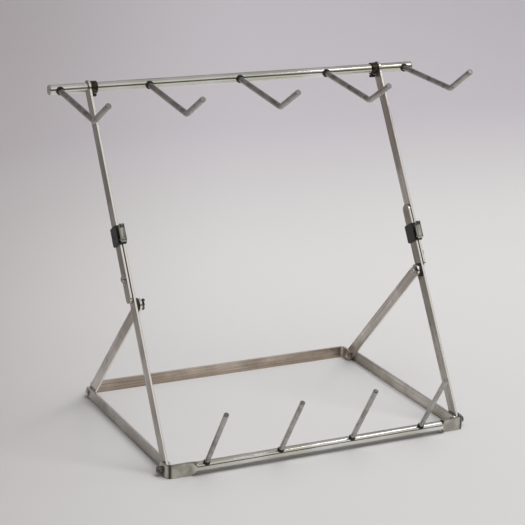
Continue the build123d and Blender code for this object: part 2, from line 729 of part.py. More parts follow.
for name, side in SIDES.items():
    save(side_rail(side), f"side_rail_{name}")
    save(leg(side), f"leg_{name}")
    save(strut(side), f"rear_strut_{name}")
    save(upper_bar(side, LOCK_PLACES[name]), f"upper_bar_{name}")
    front_rivet = rivet(side, FRONT_PIVOT, RAIL_LAYER, FRONT_TAB_LAYER, FLAT_THICKNESS, FRONT_CAP)
    save(front_rivet, f"front_pivot_rivet_{name}")
    rear_rivet = rivet(side, REAR_PIVOT, REAR_TAB_LAYER, RAIL_LAYER, BAR_THICKNESS, RIVET_DOME)
    save(rear_rivet, f"rear_pivot_rivet_{name}")
    save(apex_stud(side), f"apex_stud_{name}")
    spacer_inner = layer_x(STRUT_LAYER) + BAR_THICKNESS / 2 + RUNNING_GAP
    spacer_outer = layer_x(LEG_LAYER) - BAR_THICKNESS / 2
    save(disc(side, spacer_inner, spacer_outer, APEX, SPACER_RADIUS, STUD_RADIUS), f"apex_spacer_{name}")
    save(tube_plug(side), f"tube_plug_{name}")
    save(tube_collar(side), f"tube_collar_{name}")
    save(thumb_screw(side), f"thumb_screw_{name}")
    place = CLAMP_PLACES[name]
    save(clamp_body(side, place), f"clamp_body_{name}")
    save(clamp_pad(side, place), f"clamp_pad_{name}")
    save(clamp_pin(side, place), f"clamp_pin_{name}")
    save(clamp_lever(side, place), f"clamp_lever_{name}")
    save(lock_screw(side, LOCK_PLACES[name]), f"lock_screw_{name}")

save(wing_nut(SIDES["left"]), "wing_nut")
save(hex_nut(SIDES["right"]), "apex_nut")

nut_washers = []
lock_washers = []
for name, side in SIDES.items():
    nut_washers.append(disc(side, NUT_SEAT, WASHER_SEAT, APEX, NUT_WASHER_RADIUS, STUD_RADIUS))
    near = layer_x(UPPER_LAYER) + BAR_THICKNESS / 2
    point = lock_point(LOCK_PLACES[name])
    lock_washers.append(disc(side, near, near + LOCK_WASHER, point, LOCK_WASHER_RADIUS, STUD_RADIUS))
save(Compound(children=nut_washers), "nut_washers")
save(Compound(children=lock_washers), "lock_washers")
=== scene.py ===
import json
import math

import bpy
import numpy as np
from mathutils import Euler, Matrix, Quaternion, Vector


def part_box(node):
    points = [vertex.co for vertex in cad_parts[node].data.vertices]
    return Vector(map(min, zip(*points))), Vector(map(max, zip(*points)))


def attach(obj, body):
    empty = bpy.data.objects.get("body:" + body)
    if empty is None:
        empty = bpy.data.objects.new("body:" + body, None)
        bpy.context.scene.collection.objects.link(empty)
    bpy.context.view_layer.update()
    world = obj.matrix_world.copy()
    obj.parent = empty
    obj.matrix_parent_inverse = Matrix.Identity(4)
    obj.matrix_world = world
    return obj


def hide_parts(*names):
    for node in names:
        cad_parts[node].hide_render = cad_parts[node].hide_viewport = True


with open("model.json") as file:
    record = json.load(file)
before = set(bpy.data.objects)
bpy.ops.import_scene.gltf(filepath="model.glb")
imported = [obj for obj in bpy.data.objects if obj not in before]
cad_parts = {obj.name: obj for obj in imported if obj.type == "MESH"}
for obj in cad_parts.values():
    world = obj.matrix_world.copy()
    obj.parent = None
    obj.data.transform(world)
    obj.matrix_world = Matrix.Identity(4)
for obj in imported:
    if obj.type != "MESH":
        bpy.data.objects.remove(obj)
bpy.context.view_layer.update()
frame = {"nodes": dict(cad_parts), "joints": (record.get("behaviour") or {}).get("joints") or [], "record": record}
nodes = frame["nodes"]
joints = {joint["name"]: joint for joint in frame["joints"]}
slotOf = {row["node"]: row["material_slot"] for row in frame["record"]["subparts"]}
bodyOf = {node: body for body, members in frame["record"]["behaviour"]["bodies"].items() for node in members}
print("rack frame loaded:", len(nodes), "pieces")


# camera: where it stands round the rack, in degrees and metres

camera = {"azimuth": -26.29, "elevation": 16.91, "roll": 1.47, "distance": 2.136, "lens": 118.7,
          "aim": (0.0, 0.0537, 0.1876)}


def placeCamera(place):
    turn, rise = math.radians(place["azimuth"]), math.radians(place["elevation"])
    back = Vector((math.sin(turn) * math.cos(rise), -math.cos(turn) * math.cos(rise), math.sin(rise)))
    data = bpy.data.cameras.new("rackCamera")
    data.lens = place["lens"]
    data.sensor_width = 36.0
    data.clip_end = 50.0
    rackCamera = bpy.data.objects.new("rackCamera", data)
    rackCamera.location = Vector(place["aim"]) + back * place["distance"]
    rackCamera.rotation_mode = "QUATERNION"
    level = (-back).to_track_quat("-Z", "Y")
    rackCamera.rotation_quaternion = level @ Quaternion((0, 0, 1), math.radians(place["roll"]))
    bpy.context.scene.collection.objects.link(rackCamera)
    bpy.context.scene.camera = rackCamera


placeCamera(camera)
bpy.context.scene.view_settings.view_transform = "Standard"
print("camera placed")


# shader helpers: each adds one node and gives back its main output socket

def newMaterial(name):
    made = bpy.data.materials.new(name)
    made.use_nodes = True
    return made


def addNode(tree, kind, inputs=None, **settings):
    node = tree.nodes.new("ShaderNode" + kind)
    for key, value in settings.items():
        setattr(node, key, value)
    for key, value in (inputs or {}).items():
        if isinstance(value, bpy.types.NodeSocket):
            tree.links.new(value, node.inputs[key])
        else:
            node.inputs[key].default_value = value
    return node


def calc(tree, operation, a, b=0.0, c=0.0):
    return addNode(tree, "Math", {0: a, 1: b, 2: c}, operation=operation).outputs[0]


def remap(tree, value, fromLow, fromHigh, toLow=0.0, toHigh=1.0):
    return addNode(tree, "MapRange", {"Value": value, "From Min": fromLow, "From Max": fromHigh,
                                      "To Min": toLow, "To Max": toHigh},
                   interpolation_type="SMOOTHSTEP").outputs["Result"]


def blendColour(tree, share, first, second, mode="MIX"):
    node = tree.nodes.new("ShaderNodeMix")
    node.data_type = "RGBA"
    node.blend_type = mode
    for socket, value in ((node.inputs[0], share), (node.inputs[6], first), (node.inputs[7], second)):
        if isinstance(value, bpy.types.NodeSocket):
            tree.links.new(value, socket)
        elif isinstance(value, tuple):
            socket.default_value = (*value, 1.0)
        else:
            socket.default_value = value
    return node.outputs[2]


def blendValue(tree, share, first, second):
    return addNode(tree, "Mix", {0: share, 2: first, 3: second}).outputs[0]


# colour times one grey value
def shadeColour(tree, colour, value):
    grey = addNode(tree, "CombineColor", {0: value, 1: value, 2: value}).outputs[0]
    return blendColour(tree, 1.0, colour, grey, "MULTIPLY")


def objectPlace(tree):
    return addNode(tree, "TexCoord").outputs["Object"]


def objectNormal(tree):
    return addNode(tree, "TexCoord").outputs["Normal"]


def alignment(tree, direction, way):
    return addNode(tree, "VectorMath", {0: direction, 1: way}, operation="DOT_PRODUCT").outputs["Value"]


# object coordinates turned so that their Y runs along the metal, in units of the grain size
def grainSpace(tree, turn, grain):
    return addNode(tree, "Mapping", {"Vector": objectPlace(tree), "Rotation": turn, "Scale": grain},
                   vector_type="TEXTURE").outputs["Vector"]


def noise(tree, place, scale=1.0, detail=2.0, roughness=0.5):
    return addNode(tree, "TexNoise", {"Vector": place, "Scale": scale, "Detail": detail,
                                      "Roughness": roughness}).outputs["Fac"]


def bump(tree, height, distance, under=None):
    inputs = {"Height": height, "Distance": distance}
    if under is not None:
        inputs["Normal"] = under
    return addNode(tree, "Bump", inputs).outputs["Normal"]


def finishShader(made, inputs):
    tree = made.node_tree
    shader = tree.nodes["Principled BSDF"]
    for key, value in inputs.items():
        if isinstance(value, bpy.types.NodeSocket):
            tree.links.new(value, shader.inputs[key])
        elif isinstance(value, tuple):
            shader.inputs[key].default_value = (*value, 1.0)
        else:
            shader.inputs[key].default_value = value
    return made


def paint(piece, made):
    piece.data.materials.clear()
    piece.data.materials.append(made)


# studio: a sheet of paper, soft lights and a room that the metal mirrors
# each ramp is a pair of places, in metres, between which one tone turns into the next

studio = {"floorHalf": 5.0, "floorBack": 1.5, "sweepRadius": 1.3, "wallTop": 3.6,
          "paperLight": (0.785, 0.785, 0.775), "paperLeftShade": (0.44, 0.405, 0.40),
          "paperFar": (0.815, 0.782, 0.822), "paperNearShade": (0.620, 0.620, 0.614),
          "paperFrontShade": (0.30, 0.295, 0.29), "rows": (12, 24, 6),
          "nearShadeRamp": (-0.3, 0.9), "farRamp": (0.8, 1.6), "frontShadeRamp": (-0.7, -1.7),
          "leftShadeRamp": (-0.02, -0.72), "leftFade": (0.4, 1.4), "leftShare": 0.95, "leftLoss": -0.35,
          "sidewaysX": 0.90, "sidewaysY": -0.44, "cloudScale": 1.3, "cloudShare": 0.12,
          "roughness": 0.92, "shine": 0.15}


# a flat floor that rolls up into a wall: straight, quarter circle, straight, carried along X
def seamlessFloor(size):
    floorRows, arcRows, wallRows = size["rows"]
    flat = np.linspace(-size["floorHalf"], size["floorBack"], floorRows)
    arc = np.linspace(0, math.pi / 2, arcRows)[1:]
    rise = np.linspace(size["sweepRadius"], size["wallTop"], wallRows)[1:]
    y = np.concatenate([flat, size["floorBack"] + size["sweepRadius"] * np.sin(arc),
                        np.full(rise.shape, size["floorBack"] + size["sweepRadius"])])
    z = np.concatenate([np.zeros(flat.shape), size["sweepRadius"] * (1 - np.cos(arc)), rise])
    x = np.array([-size["floorHalf"], size["floorHalf"]])
    gridX, gridY = np.meshgrid(x, y)
    gridZ = np.repeat(z[:, None], 2, axis=1)
    rows = np.arange(len(y) - 1)
    faces = np.stack([2 * rows, 2 * rows + 1, 2 * rows + 3, 2 * rows + 2], axis=1)
    mesh = bpy.data.meshes.new("studioFloor")
    mesh.from_pydata(np.stack([gridX, gridY, gridZ], axis=-1).reshape(-1, 3).tolist(), [], faces.tolist())
    mesh.polygons.foreach_set("use_smooth", np.ones(len(mesh.polygons), bool))
    floor = bpy.data.objects.new("studioFloor", mesh)
    bpy.context.scene.collection.objects.link(floor)
    return floor


# white paper with painted light and shade: it greys off to the left, less so far back, darkens towards the front
# and is near black beyond it, for the metal to mirror; far back it is a little lighter and turns a little lilac
def paperFinish(size):
    made = newMaterial("studioPaper")
    tree = made.node_tree
    axes = addNode(tree, "SeparateXYZ", {"Vector": objectPlace(tree)})
    x, y = axes.outputs["X"], axes.outputs["Y"]
    sideways = calc(tree, "MULTIPLY_ADD", y, size["sidewaysY"], calc(tree, "MULTIPLY", x, size["sidewaysX"]))
    left = remap(tree, sideways, *size["leftShadeRamp"])
    cloud = noise(tree, objectPlace(tree), size["cloudScale"], detail=1.0)
    # painted light and shade: darker near the front, a little lighter and lilac far back
    colour = blendColour(tree, remap(tree, y, *size["nearShadeRamp"]), size["paperNearShade"], size["paperLight"])
    colour = blendColour(tree, remap(tree, y, *size["farRamp"]), colour, size["paperFar"])
    far = remap(tree, y, *size["leftFade"])
    share = calc(tree, "MULTIPLY", left, calc(tree, "MULTIPLY_ADD", far, size["leftLoss"], size["leftShare"]))
    ripple = calc(tree, "MULTIPLY_ADD", cloud, size["cloudShare"], -size["cloudShare"] / 2)
    # painted shade: greyer to the left, with random cloudy ripples
    colour = blendColour(tree, calc(tree, "ADD", share, ripple), colour, size["paperLeftShade"])
    # painted shade: near black beyond the front, out of view, for the metal to mirror
    colour = blendColour(tree, remap(tree, y, *size["frontShadeRamp"]), colour, size["paperFrontShade"])
    return finishShader(made, {"Base Color": colour, "Roughness": size["roughness"],
                               "Specular IOR Level": size["shine"]})


paint(seamlessFloor(studio), paperFinish(studio))


# each light: where it is, where it points, its width and height, watts, colour, whether metal mirrors it
lights = {
    "overheadSoftbox": ((0.45, -0.55, 2.25), (0.1, 0.1, 0.0), (2.0, 1.6), 40, (1.0, 0.985, 0.98), False),
    "stripSoftbox": ((0.98, -0.56, 1.65), (0.1, 0.1, 0.4), (0.5, 0.2), 1.5, (1.0, 0.985, 0.96), True),
    "rightSoftbox": ((2.4, -0.2, 1.2), (0.0, 0.0, 0.2), (1.2, 1.2), 8, (1.0, 0.98, 0.96), False),
}


def softLight(name, place, aim, size, power, colour, seenInMetal):
    data = bpy.data.lights.new(name, "AREA")
    data.shape = "RECTANGLE"
    data.size, data.size_y = size
    data.energy = power
    data.color = colour
    lamp = bpy.data.objects.new(name, data)
    lamp.location = place
    lamp.visible_glossy = seenInMetal
    lamp.rotation_mode = "QUATERNION"
    lamp.rotation_quaternion = (Vector(aim) - Vector(place)).to_track_quat("-Z", "Y")
    bpy.context.scene.collection.objects.link(lamp)


for name, settings in lights.items():
    softLight(name, *settings)


# the room's directions are unit vectors: bandLow and bandHigh are heights on them, glowSpread is a cosine
room = {"sky": (0.46, 0.455, 0.47), "band": (0.085, 0.082, 0.080), "glow": (0.70, 0.69, 0.67),
        "strength": 1.0, "bandLow": -0.42, "bandHigh": 0.54, "bandEdge": 0.10, "bandFront": (0.35, -0.1),
        "glowWay": (0.42, -0.66, 0.62), "glowSpread": (0.90, 0.985)}


# grey room with a dark open side in front of the rack, and a paler ceiling patch up to the right of it
def roomWorld(look):
    world = bpy.data.worlds.new("studioWorld")
    world.use_nodes = True
    tree = world.node_tree
    way = addNode(tree, "TexCoord").outputs["Generated"]
    axes = addNode(tree, "SeparateXYZ", {"Vector": way})
    z = axes.outputs["Z"]
    above = remap(tree, z, look["bandLow"] - look["bandEdge"], look["bandLow"])
    below = remap(tree, z, look["bandHigh"] + look["bandEdge"], look["bandHigh"])
    front = remap(tree, axes.outputs["Y"], *look["bandFront"])
    share = calc(tree, "MULTIPLY", calc(tree, "MULTIPLY", above, below), front)
    colour = blendColour(tree, share, look["sky"], look["band"])
    glow = remap(tree, alignment(tree, way, look["glowWay"]), *look["glowSpread"])
    colour = blendColour(tree, glow, colour, look["glow"])
    shade = tree.nodes["Background"]
    tree.links.new(colour, shade.inputs["Color"])
    shade.inputs["Strength"].default_value = look["strength"]
    bpy.context.scene.world = world


roomWorld(room)
print("studio set")


# flat bar: satin nickel, brushed along each bar, with a painted highlight on the narrow edges that face up or
# forward, where they are also less rough
# a range is the pair of values between which a tone comes in; edgeRange is how far the surface faces
# along the axis that edgeAxis names: away from X on the upright bars, towards Z on the rear rail

barLook = {"face": (0.57, 0.545, 0.51), "faceDark": (0.36, 0.33, 0.295), "edge": (0.92, 0.89, 0.83),
           "lowBrown": (0.40, 0.31, 0.235), "nick": (0.24, 0.20, 0.165),
           "grain": (0.00035, 0.030, 0.00035), "coarseGrain": (0.0016, 0.09, 0.0016), "grainDepth": 0.00004,
           "cloudScale": 34.0, "broadScale": 9.0, "tarnishRange": (0.30, 0.75), "broadShare": 1.3,
           "edgeRange": {"X": (0.80, 0.35), "Z": (0.35, 0.80)}, "upRange": (-0.1, 0.35),
           "frontRange": (0.1, -0.4), "coarseShare": 1.6, "streakGain": 0.85, "streakShift": -0.08,
           "lowBrownHeight": (0.010, 0.0015), "lowBrownRange": (0.25, 0.6),
           "scratchGrain": (0.0005, 0.011, 0.0005), "scratchTurn": (0.35, 0.2), "scratchRange": (0.70, 0.76),
           "scratchWhere": (0.45, 0.60), "scratchShare": 0.55, "scratchDepth": 1.5,
           "spotScale": 420.0, "spotRange": (0.70, 0.76), "spotWhere": (0.5, 0.65), "spotShare": 0.5,
           "roughness": (0.24, 0.44), "roughRange": (0.3, 0.7), "wearShares": (0.6, 0.4),
           "coarseDepth": 2.0, "edgeRoughness": 0.20}

# painted light and shade: each bar's colour is scaled lighter or darker for how the light falls on it; the rear
# rail also gets a brown cast
barShadeTones = {"leg_left": (0.95, 0.95, 0.94), "leg_right": (0.78, 0.78, 0.76),
            "rear_strut_left": (1.12, 1.11, 1.11), "rear_strut_right": (1.20, 1.18, 1.19),
            "upper_bar_left": (0.86, 0.86, 0.84), "upper_bar_right": (1.06, 1.06, 1.06),
            "side_rail_left": (0.95, 0.95, 0.95), "side_rail_right": (1.0, 0.98, 0.96),
            "rear_rail": (1.15, 1.03, 0.93)}
barLowBrown = {"rear_rail": 0.55}
usualLowBrown = 0.15


# turn that carries Y onto the node's longest direction: the first axis of its vertices' spread
def principalTurn(node):
    points = np.array([vertex.co for vertex in nodes[node].data.vertices], float)
    axis = np.linalg.svd(points - points.mean(0), full_matrices=False)[2][0]
    axis = Vector(axis if axis[1] + axis[2] * 0.5 > 0 else -axis)
    return tuple(Vector((0, 1, 0)).rotation_difference(axis).to_euler())


# brushed nickel: fine and coarse grain, cloudy tarnish, brown near the floor, a painted highlight on the narrow
# edges where they face up or forward, slanted scratches, small dark spots
def barFinish(name, look, turn, edgeAxis, tone, lowBrown):
    made = newMaterial(name)
    tree = made.node_tree
    place = objectPlace(tree)
    fine = noise(tree, grainSpace(tree, turn, look["grain"]), detail=3.0, roughness=0.6)
    coarse = noise(tree, grainSpace(tree, turn, look["coarseGrain"]))
    cloud = noise(tree, place, look["cloudScale"], detail=4.0, roughness=0.6)
    broad = noise(tree, place, look["broadScale"])
    axes = addNode(tree, "SeparateXYZ", {"Vector": place})
    facing = addNode(tree, "SeparateXYZ", {"Vector": objectNormal(tree)})
    leaning = calc(tree, "ABSOLUTE", facing.outputs[edgeAxis])
    # painted highlight: the narrow edges are made bright where they face up or forward
    edge = remap(tree, leaning, *look["edgeRange"][edgeAxis])
    lit = calc(tree, "MAXIMUM", remap(tree, facing.outputs["Z"], *look["upRange"]),
               remap(tree, facing.outputs["Y"], *look["frontRange"]))
    edge = calc(tree, "MULTIPLY", edge, lit)

    drift = calc(tree, "MULTIPLY_ADD", broad, look["broadShare"], -look["broadShare"] / 2)
    tarnish = remap(tree, calc(tree, "ADD", cloud, drift), *look["tarnishRange"])
    colour = blendColour(tree, tarnish, look["faceDark"], look["face"])
    # painted light and shade: the bar's own scale makes it lighter or darker
    colour = blendColour(tree, 1.0, colour, tone, "MULTIPLY")
    grain = calc(tree, "ADD", fine, calc(tree, "MULTIPLY", coarse, look["coarseShare"]))
    colour = shadeColour(tree, colour,
                         calc(tree, "MULTIPLY_ADD", grain, look["streakGain"], look["streakShift"]))
    # browner towards the floor, in cloudy patches
    low = calc(tree, "MULTIPLY", remap(tree, axes.outputs["Z"], *look["lowBrownHeight"]),
               remap(tree, cloud, *look["lowBrownRange"]))
    colour = blendColour(tree, calc(tree, "MULTIPLY", low, lowBrown), colour, look["lowBrown"])
    # painted highlight on the narrow edges
    colour = blendColour(tree, edge, colour, look["edge"])

    slant, twist = look["scratchTurn"]
    scratchTurn = (turn[0] + slant, turn[1], turn[2] + twist)
    scratch = noise(tree, grainSpace(tree, scratchTurn, look["scratchGrain"]), detail=1.0)
    scratch = calc(tree, "MULTIPLY", remap(tree, scratch, *look["scratchRange"]),
                   remap(tree, broad, *look["scratchWhere"]))
    colour = blendColour(tree, calc(tree, "MULTIPLY", scratch, look["scratchShare"]), colour, look["nick"])
    spot = remap(tree, noise(tree, place, look["spotScale"], detail=1.0), *look["spotRange"])
    spot = calc(tree, "MULTIPLY", spot, remap(tree, broad, *look["spotWhere"]))
    colour = blendColour(tree, calc(tree, "MULTIPLY", spot, look["spotShare"]), colour, look["nick"])

    cloudWear, grainWear = look["wearShares"]
    wear = calc(tree, "ADD", calc(tree, "MULTIPLY", cloud, cloudWear),
                calc(tree, "MULTIPLY", coarse, grainWear))
    rough = remap(tree, wear, *look["roughRange"], *look["roughness"])
    rough = blendValue(tree, edge, rough, look["edgeRoughness"])
    height = calc(tree, "ADD", fine, calc(tree, "MULTIPLY", coarse, look["coarseDepth"]))
    height = calc(tree, "SUBTRACT", height, calc(tree, "MULTIPLY", scratch, look["scratchDepth"]))
    return finishShader(made, {"Base Color": colour, "Metallic": 1.0, "Roughness": rough,
                               "Normal": bump(tree, height, look["grainDepth"])})


for node, tone in barShadeTones.items():
    edgeAxis = "Z" if node == "rear_rail" else "X"
    paint(nodes[node], barFinish("barSteel_" + node, barLook, principalTurn(node), edgeAxis, tone,
                                 barLowBrown.get(node, usualLowBrown)))
print("bars brushed")


# tube: polished nickel, dull and dark where it was pressed

tubeLook = {"bright": (0.86, 0.855, 0.83), "oliveReflection": (0.66, 0.655, 0.57), "warm": (0.74, 0.67, 0.60),
            "pressed": (0.60, 0.585, 0.52), "pressedDark": (0.40, 0.38, 0.33), "creaseShade": (0.035, 0.030, 0.026),
            "grain": (0.08, 0.00028, 0.00028), "dentGrain": (0.045, 0.006, 0.006),
            "smudgeScale": 55.0, "broadScale": 7.0, "oliveReflectionRange": (0.42, 0.60), "warmRange": (0.52, 0.72),
            "warmShare": 0.5, "wornRange": (0.36, 0.62), "creaseShadeRange": (0.30, 0.50, 0.55, 1.0),
            "lineShare": 0.3, "roughRange": (0.35, 0.75), "roughness": (0.07, 0.24),
            "pressedRoughness": 0.36, "dentDepth": 0.00016, "lineDepth": 0.000012}


# drawn lines and shallow dents along the tube, smudges, an olive tint in broad patches as painted reflection, and
# satin metal on the pressed ends, with painted shade in their creases; the front tube's mesh carries the pressed
# share and the share of crease shade, and the top tube has none
def tubeFinish(look):
    made = newMaterial("tubeNickel")
    tree = made.node_tree
    place = objectPlace(tree)
    straight = (0.0, 0.0, 0.0)
    lines = noise(tree, grainSpace(tree, straight, look["grain"]))
    dents = noise(tree, grainSpace(tree, straight, look["dentGrain"]))
    smudge = noise(tree, place, look["smudgeScale"], detail=4.0, roughness=0.65)
    broad = noise(tree, place, look["broadScale"])
    pressed = addNode(tree, "Attribute", attribute_name="pressed").outputs["Fac"]
    creaseShade = addNode(tree, "Attribute", attribute_name="creaseShade").outputs["Fac"]
    # painted reflection: an olive tint in broad random patches along the tube
    colour = blendColour(tree, remap(tree, broad, *look["oliveReflectionRange"]), look["oliveReflection"], look["bright"])
    warmth = calc(tree, "MULTIPLY", remap(tree, smudge, *look["warmRange"]), look["warmShare"])
    colour = blendColour(tree, warmth, colour, look["warm"])
    worn = blendColour(tree, remap(tree, smudge, *look["wornRange"]), look["pressedDark"], look["pressed"])
    colour = blendColour(tree, pressed, colour, worn)
    # painted shade: near black in the creases where the tube is folded round the corners and necked before the
    # flat
    creaseShadeShare = calc(tree, "MULTIPLY", creaseShade, remap(tree, smudge, *look["creaseShadeRange"]))
    colour = blendColour(tree, creaseShadeShare, colour, look["creaseShade"])
    drift = calc(tree, "MULTIPLY_ADD", lines, look["lineShare"], -look["lineShare"] / 2)
    polished = remap(tree, calc(tree, "ADD", smudge, drift), *look["roughRange"], *look["roughness"])
    rough = blendValue(tree, pressed, polished, look["pressedRoughness"])
    normal = bump(tree, lines, look["lineDepth"], under=bump(tree, dents, look["dentDepth"]))
    return finishShader(made, {"Base Color": colour, "Metallic": 1.0, "Roughness": rough, "Normal": normal})


rodLook = {"steel": (0.50, 0.485, 0.46), "dull": (0.30, 0.285, 0.265), "cut": (0.24, 0.23, 0.225),
           "grain": (0.00030, 0.05, 0.00030), "cloudScale": 70.0, "dullRange": (0.30, 0.62),
           "lineGain": 0.45, "lineShift": 0.77, "cutRange": (0.80, 0.96), "cutShare": 0.85,
           "roughness": (0.24, 0.42), "roughRange": (0.3, 0.7), "lineDepth": 0.00003}


# drawn rod: lengthwise lines, dull patches, and a darker cut end where the surface faces along the rod
def rodFinish(name, look, turn):
    made = newMaterial(name)
    tree = made.node_tree
    lines = noise(tree, grainSpace(tree, turn, look["grain"]))
    cloud = noise(tree, objectPlace(tree), look["cloudScale"], detail=4.0, roughness=0.6)
    alongRod = Vector((0, 1, 0))
    alongRod.rotate(Euler(turn))
    cut = calc(tree, "ABSOLUTE", alignment(tree, objectNormal(tree), tuple(alongRod)))
    colour = blendColour(tree, remap(tree, cloud, *look["dullRange"]), look["dull"], look["steel"])
    colour = shadeColour(tree, colour, calc(tree, "MULTIPLY_ADD", lines, look["lineGain"], look["lineShift"]))
    share = calc(tree, "MULTIPLY", remap(tree, cut, *look["cutRange"]), look["cutShare"])
    colour = blendColour(tree, share, colour, look["cut"])
    rough = remap(tree, cloud, *look["roughRange"], *look["roughness"])
    return finishShader(made, {"Base Color": colour, "Metallic": 1.0, "Roughness": rough,
                               "Normal": bump(tree, lines, look["lineDepth"])})


# small parts: two tones each, the scale of their patches and of their pits, and how much the patches are
# stretched along the leg

mottledLooks = {
    "rivet_steel": {"main": (0.60, 0.585, 0.55), "second": (0.32, 0.295, 0.26), "metallic": 1.0,
                    "roughness": (0.20, 0.42), "patch": 260.0, "pitDepth": 0.00004, "pitScale": 1500.0},
    "dark_steel": {"main": (0.040, 0.034, 0.028), "second": (0.13, 0.098, 0.070), "metallic": 0.9,
                   "roughness": (0.26, 0.50), "patch": 330.0, "pitDepth": 0.00005, "pitScale": 1800.0},
    # painted shade: a darker copy of the rivet steel for the two front pivot rivets
    "front_rivet_shade": {"main": (0.26, 0.24, 0.215), "second": (0.07, 0.062, 0.055), "metallic": 1.0,
                  "roughness": (0.26, 0.48), "patch": 300.0, "pitDepth": 0.00004, "pitScale": 1500.0},
    "wing_nut": {"main": (0.085, 0.075, 0.064), "second": (0.26, 0.225, 0.185), "metallic": 1.0,
                 "roughness": (0.26, 0.50), "patch": 420.0, "pitDepth": 0.00005, "pitScale": 1800.0},
    "black_plastic": {"main": (0.010, 0.009, 0.011), "second": (0.030, 0.028, 0.028), "metallic": 0.0,
                      "roughness": (0.34, 0.55), "patch": 190.0, "pitDepth": 0.00004, "pitScale": 2600.0},
    "black_rubber": {"main": (0.016, 0.016, 0.015), "second": (0.060, 0.056, 0.050), "metallic": 0.0,
                     "roughness": (0.50, 0.72), "patch": 240.0, "pitDepth": 0.00005, "pitScale": 2200.0},
    "brass_pad": {"main": (0.58, 0.44, 0.21), "second": (0.33, 0.23, 0.11), "metallic": 1.0,
                  "roughness": (0.25, 0.45), "patch": 300.0, "pitDepth": 0.00003, "pitScale": 2400.0},
    "chrome_lever": {"main": (0.56, 0.59, 0.51), "second": (0.12, 0.125, 0.095), "metallic": 1.0,
                     "roughness": (0.12, 0.34), "patch": 230.0, "pitDepth": 0.00003, "pitScale": 900.0,
                     "stretch": 9.0},
}
mottling = {"toneRange": (0.44, 0.66), "roughRange": (0.35, 0.65)}
legTurn = principalTurn("leg_left")


# two tones in cloudy patches, and a fine pitted surface
def mottledFinish(name, look):
    made = newMaterial(name)
    tree = made.node_tree
    stretch = look.get("stretch", 1.0)
    turn = legTurn if "stretch" in look else (0.0, 0.0, 0.0)
    place = grainSpace(tree, turn, (1.0, stretch, 1.0))
    patch = noise(tree, place, look["patch"], detail=4.0, roughness=0.6)
    pits = noise(tree, place, look["pitScale"])
    colour = blendColour(tree, remap(tree, patch, *mottling["toneRange"]), look["main"], look["second"])
    rough = remap(tree, patch, *mottling["roughRange"], *look["roughness"])
    return finishShader(made, {"Base Color": colour, "Metallic": look["metallic"], "Roughness": rough,
                               "Normal": bump(tree, pits, look["pitDepth"])})


finishes = {name: mottledFinish(name, look) for name, look in mottledLooks.items()}
finishes["polished_tube"] = tubeFinish(tubeLook)
for name in ("peg", "hook"):
    finishes[name] = rodFinish(name + "Rod", rodLook, principalTurn(name + "_2"))
for node, usedSlot in slotOf.items():
    if usedSlot == "rod_steel":
        paint(nodes[node], finishes[node.split("_")[0]])
    elif usedSlot != "satin_steel":
        # the front pivot rivets take the darker copy, as painted shade
        paint(nodes[node], finishes["front_rivet_shade" if node.startswith("front_pivot") else usedSlot])
print("finishes made")


# surfaces: every new piece is one or more grids of points, rows along it and columns round it

# quads between neighbouring rows and columns; the last column meets the first if the grid goes round
def gridFaces(rows, columns, start, around):
    row, column = np.meshgrid(np.arange(rows - 1), np.arange(columns if around else columns - 1), indexing="ij")
    beside = (column + 1) % columns
    corners = (row * columns + column, row * columns + beside,
               (row + 1) * columns + beside, (row + 1) * columns + column)
    return (np.stack(corners, axis=-1).reshape(-1, 4) + start).tolist()


# one piece standing for a CAD node, from grids that go round, each end shut by a single face, or from
# an open sheet
def newPiece(name, grids, node, finish, around=True, smoothAngle=40):
    points, faces, start = [], [], 0
    for grid in grids:
        rows, columns = grid.shape[:2]
        points.append(grid.reshape(-1, 3))
        faces += gridFaces(rows, columns, start, around)
        if around:
            faces.append(list(range(start + columns - 1, start - 1, -1)))
            faces.append(list(range(start + (rows - 1) * columns, start + rows * columns)))
        start += rows * columns
    mesh = bpy.data.meshes.new(name)
    mesh.from_pydata(np.concatenate(points).tolist(), [], faces)
    mesh.polygons.foreach_set("use_smooth", np.ones(len(mesh.polygons), bool))
    mesh.set_sharp_from_angle(angle=math.radians(smoothAngle))
    piece = bpy.data.objects.new(name, mesh)
    bpy.context.scene.collection.objects.link(piece)
    paint(piece, finish)
    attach(piece, bodyOf[node])
    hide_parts(node)
    return piece


# 3 v squared less 2 v cubed, held at 0 and 1 outside
def smoothStep(value):
    held = np.clip(value, 0.0, 1.0)
    return held * held * (3 - 2 * held)


def signedPower(value, power):
    return np.sign(value) * np.abs(value) ** power


# 1 at the centre, falling off as the exponential of minus the squared distance in widths
def bell(value, centre, width):
    return np.exp(-((value - centre) / width) ** 2)


# front tube: a round tube with its ends pressed flat and bent back round the corners
# a pair holds the left and the right value; pinch and neck places are in flare lengths before the flat

frontTubeSize = {"radius": 0.0060, "flatHeight": 0.0165, "flatThickness": 0.0028, "axisHeight": 0.0095,
                 "bend": 0.0060, "flatStarts": (0.168, 0.171), "flare": 0.0065, "squareness": 9.0,
                 "pinchDepth": 0.35, "pinchPlace": 0.25, "pinchWidth": 0.35, "pinchHeight": 0.4,
                 "neckShade": (0.80, 1.25), "neckPlace": 0.8, "neckWidth": 0.30,
                 "foldPlace": 0.45, "foldWidth": 0.30, "neckFrom": 0.35, "neckOver": 0.4,
                 "rows": (60, 44, 14, 5, 16), "columns": 56}
